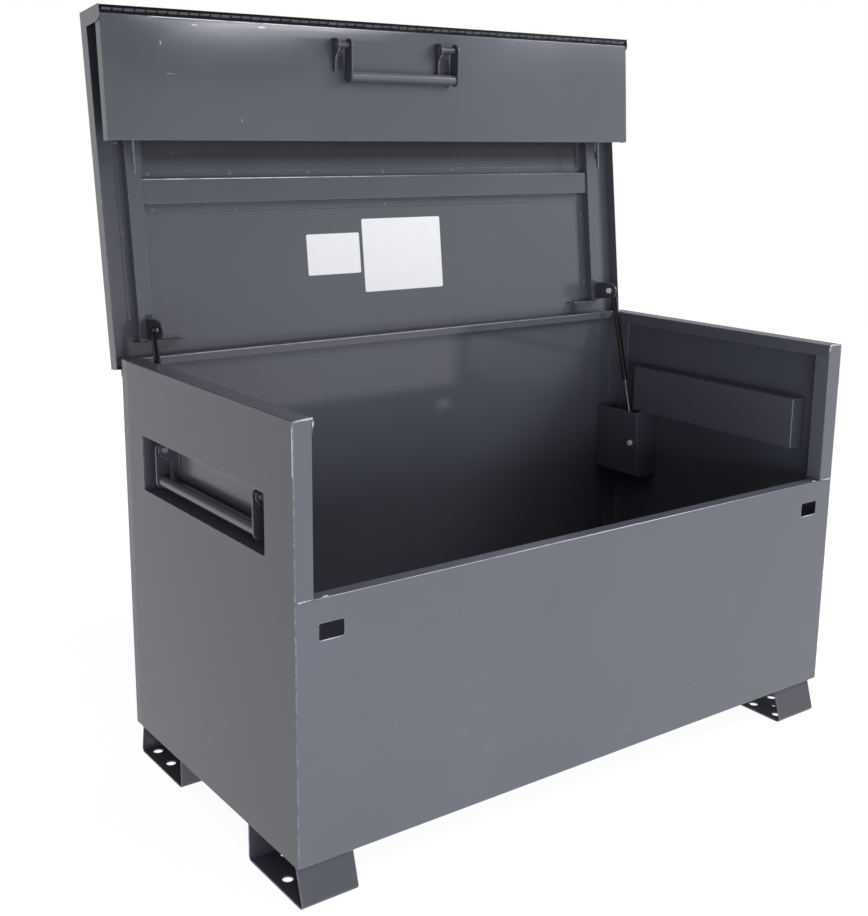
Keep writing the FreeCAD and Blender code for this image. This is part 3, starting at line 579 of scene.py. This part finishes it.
refine("lid_pan", (lambda e: flat_angle(e) > 1.3 and (e.calc_length() > 0.05), 0.0018, 4))
refine("lid_left_channel", (lambda e: e.calc_length() > 0.3, 0.0014, 4))
refine("lid_right_channel", (lambda e: e.calc_length() > 0.3, 0.0014, 4))
refine("lid_cross_channel", (lambda e: is_along(e, 0) and e.calc_length() > 0.3, 0.0014, 4))


def flap_down(co):
    # how far a point of the flap lies below its hinge line, and how far in front of it, along the flap's own face
    y = co.y - (FY + SY) / 1000.0
    z = co.z - AXZ
    return -(z * math.cos(LEAN) + y * math.sin(LEAN)), -(y * math.cos(LEAN) - z * math.sin(LEAN))


def roll_top(bm):
    # the sheet's upper edge is rolled back a little onto its hinge leaf, and the sheet stands slightly proud left of the handle
    o = flap_pt(0, 0, 0)
    n = flap_pt(0, 1, 0) - o
    for dn in [q[0] for q in SWELL[1:-1]] + [18.6, 22.0, 26.0, 30.0, 37.0, 46.0, 55.0, 70.0, 95.0, 125.0, 155.0, 200.0, 235.0, 270.0, 300.0]:
        bmesh.ops.bisect_plane(bm, geom=bm.verts[:] + bm.edges[:] + bm.faces[:], plane_co=flap_pt(0, dn, 0), plane_no=n, dist=1e-6)
    for x in (-750, -735, -715, -690, -665, -640, -620, -560, -500, -440, -380, -335, -310, -290, -270, -250, -230, -205, -150, -100, -60, -30, 0, 30, 60, 90, 120):
        bmesh.ops.bisect_plane(bm, geom=bm.verts[:] + bm.edges[:] + bm.faces[:], plane_co=flap_pt(x, 0, 0), plane_no=Vector((1, 0, 0)), dist=1e-6)
    out = (flap_pt(0, 0, 1) - o).normalized()
    for v in bm.verts:
        dn, _ = flap_down(v.co)
        v.co += out * (swell(v.co.x * 1000.0, dn * 1000.0 + FACE) / 1000.0)


refine("flap_panel", (lambda e: e.calc_length() > 0.2, 0.0012, 4), shape=roll_top)
refine("flap_handle_brackets", small=0.0006)
refine("flap_handle_arms", small=0.0006)
refine("small_label", (lambda e: e.calc_length() < 0.0005, 0.004, 4), small=0)
refine("large_label", (lambda e: e.calc_length() < 0.0005, 0.004, 4), small=0)



# ------------------------------------------------------------------ weld beads and spot welds
def wob(i, k=1.0):
    return math.sin(i * 12.9898 * k + 4.1) * 0.5 + math.sin(i * 3.77 * k + 1.3) * 0.5


def bead(name, pts, r, body, lump=0.35, step=0.0035, slot="body_paint", look="weld"):
    """A lumpy weld bead of radius r along a polyline."""
    path = []
    for a, b in zip(pts[:-1], pts[1:]):
        n = max(1, int((b - a).length / step))
        path += [a.lerp(b, k / n) for k in range(n)]
    path.append(pts[-1])
    bm = bmesh.new()
    rings = []
    for i, c in enumerate(path):
        t = (path[min(i + 1, len(path) - 1)] - path[max(i - 1, 0)]).normalized()
        u = t.orthogonal().normalized()
        if abs(t.z) < 0.9:
            u = (Vector((0, 0, 1)) - t * t.z).normalized()
        w = t.cross(u)
        k = 0.35 if i in (0, len(path) - 1) else 1.0
        rr = r * k * (1.0 + lump * wob(i))
        o = u * (r * 0.18 * wob(i, 0.7)) + w * (r * 0.18 * wob(i, 1.7))
        rings.append([bm.verts.new(c + o + (u * math.cos(q) + w * math.sin(q)) * rr * (1 + 0.12 * wob(i * 8 + j))) for j, q in enumerate(math.tau * x / 8 for x in range(8))])
    for a, b in zip(rings[:-1], rings[1:]):
        for j in range(8):
            bm.faces.new((a[j], a[(j + 1) % 8], b[(j + 1) % 8], b[j]))
    for ring in (rings[0], rings[-1]):
        bm.faces.new(ring)
    return obj_from(bm, name, slot, body, weighted=False, sharp=80.0, look=look)


def domes(name, spots, body, slot, look=None):
    """Low round spot-weld marks: (centre, outward normal, radius, height)."""
    bm = bmesh.new()
    for c, n, rad, h in spots:
        n = n.normalized()
        u = n.orthogonal().normalized()
        w = n.cross(u)
        prev = None
        for rk, hk in ((1.0, -0.3), (0.86, 0.45), (0.55, 0.85), (0.2, 1.0)):
            ring = [bm.verts.new(c + n * (h * hk) + (u * math.cos(q) + w * math.sin(q)) * rad * rk) for q in (math.tau * k / 14 for k in range(14))]
            if prev:
                for j in range(14):
                    bm.faces.new((prev[j], prev[(j + 1) % 14], ring[(j + 1) % 14], ring[j]))
            else:
                bm.faces.new(ring[::-1])
            prev = ring
        bm.faces.new(prev)
    return obj_from(bm, name, slot, body, weighted=False, sharp=70.0, look=look)


B_BOX, B_LID, B_FLAP = NODES["left_front_post"]["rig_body"], NODES["lid_pan"]["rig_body"], NODES["flap_panel"]["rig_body"]
for sgn, side in ((-1, "left"), (1, "right")):
    bead(side + "_post_top_weld", [body_pt(sgn * 761.0, -374.4, 860.2), body_pt(sgn * 748, -375.0, 862.3), body_pt(sgn * 733, -375.0, 863.0),
                                   body_pt(sgn * 722.5, -375.0, 863.2), body_pt(sgn * 719.8, -374.6, 858.0), body_pt(sgn * 720.2, -374.6, 846.0)], 0.0018, B_BOX, lump=0.6)
    bead(side + "_post_edge_weld", [body_pt(sgn * 762.3, -374.5, 853.0), body_pt(sgn * 762.3, -374.5, 760.0)], 0.0009, B_BOX, lump=0.10)
    bead(side + "_sill_end_weld", [body_pt(sgn * 721.5, -374.0, 529.0), body_pt(sgn * 734, -375.4, 528.6), body_pt(sgn * 758, -375.4, 528.4)], 0.0016, B_BOX, lump=0.7)
    bead(side + "_sill_tack", [body_pt(sgn * 704.0, -374.2, 529.6), body_pt(sgn * 690.0, -374.0, 529.8)], 0.0021, B_BOX, lump=0.6)

LIDN = (lid_pt(0, 0, -1) - lid_pt(0, 0, 0)).normalized()
flange = LID_IN - 2.0
domes("lid_channel_spots", [(lid_pt(x, t, flange), LIDN, 0.0042, 0.0007) for x, t in
                            ((-640, 351), (-430, 349), (-215, 351), (-7, 349), (205, 351), (420, 349), (640, 351), (-645, 429), (-440, 428), (-225, 429), (-8, 428), (210, 429), (430, 428), (653, 429))],
      B_LID, "lid_paint")
domes("lid_side_spots", [(lid_pt(s * x, t, flange), LIDN, 0.0038, 0.0006) for s in (-1, 1) for x, t in ((663, 110), (713, 112), (663, 300), (713, 302), (663, 500), (713, 498), (663, 690), (713, 688))],
      B_LID, "lid_paint")
